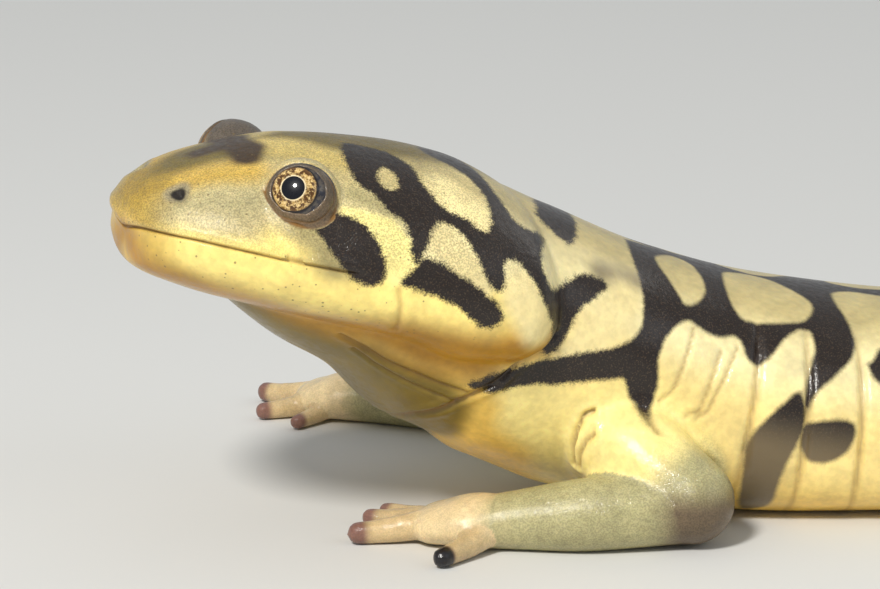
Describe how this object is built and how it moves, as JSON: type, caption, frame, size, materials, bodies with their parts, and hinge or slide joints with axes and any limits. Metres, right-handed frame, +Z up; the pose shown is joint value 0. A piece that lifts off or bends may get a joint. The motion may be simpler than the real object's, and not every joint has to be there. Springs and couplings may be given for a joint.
{
  "type": "barred tiger salamander",
  "caption": "Life-size still model of a barred tiger salamander resting on its belly with its head raised and a forearm on the floor.",
  "frame": {"origin": "on the floor under the middle of the trunk, on the flat that the belly rests on", "axes": "+X from the head towards the tail, -Y towards the animal's left side, +Z up"},
  "size_m": [0.2145, 0.0693, 0.0286],
  "materials": {
    "skin": "moist smooth skin, yellow and olive between brown-black bars",
    "eye": "wet glossy eye, gold iris round a black pupil"
  },
  "bodies": {
    "root": {"head": "skin", "lower_jaw": "skin", "neck": "skin", "shoulders": "skin", "belly": "skin", "hips": "skin", "tail_base": "skin", "tail_middle": "skin", "tail_tip": "skin", "arm_left_upper": "skin", "arm_left_lower": "skin", "hand_left": "skin", "leg_left_upper": "skin", "leg_left_lower": "skin", "foot_left": "skin", "arm_right_upper": "skin", "arm_right_lower": "skin", "hand_right": "skin", "leg_right_upper": "skin", "leg_right_lower": "skin", "foot_right": "skin", "eye_left": "eye", "eye_right": "eye"}
  },
  "joints": []
}
